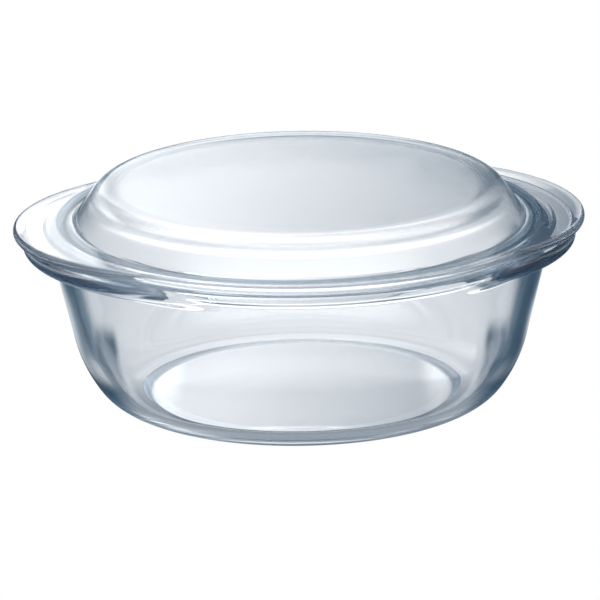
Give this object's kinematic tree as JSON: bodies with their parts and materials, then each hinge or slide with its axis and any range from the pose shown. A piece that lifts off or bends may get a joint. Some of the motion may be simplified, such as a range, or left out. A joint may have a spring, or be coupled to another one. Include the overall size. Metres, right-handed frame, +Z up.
{
  "type": "covered casserole dish",
  "caption": "Round clear glass oven dish with wide lugs and a matching flat-topped glass lid that rests in its mouth and lifts off.",
  "frame": {"origin": "middle of the dish's base, on the surface that it stands on", "axes": "+Z up out of the mouth, X through the two pairs of lugs, Y across the round side"},
  "size_m": [0.2486, 0.221, 0.0962],
  "materials": {
    "dish_glass": "pressed clear borosilicate glass, fire-polished",
    "lid_glass": "pressed clear borosilicate glass, fire-polished"
  },
  "bodies": {
    "dish": {"dish": "dish_glass"},
    "lid": {"lid": "lid_glass"}
  },
  "joints": [
    {"name": "lid_lift", "type": "slide", "parent": "dish", "child": "lid", "axis": [0, 0, 1], "range_m": [0, 0.12]}
  ]
}
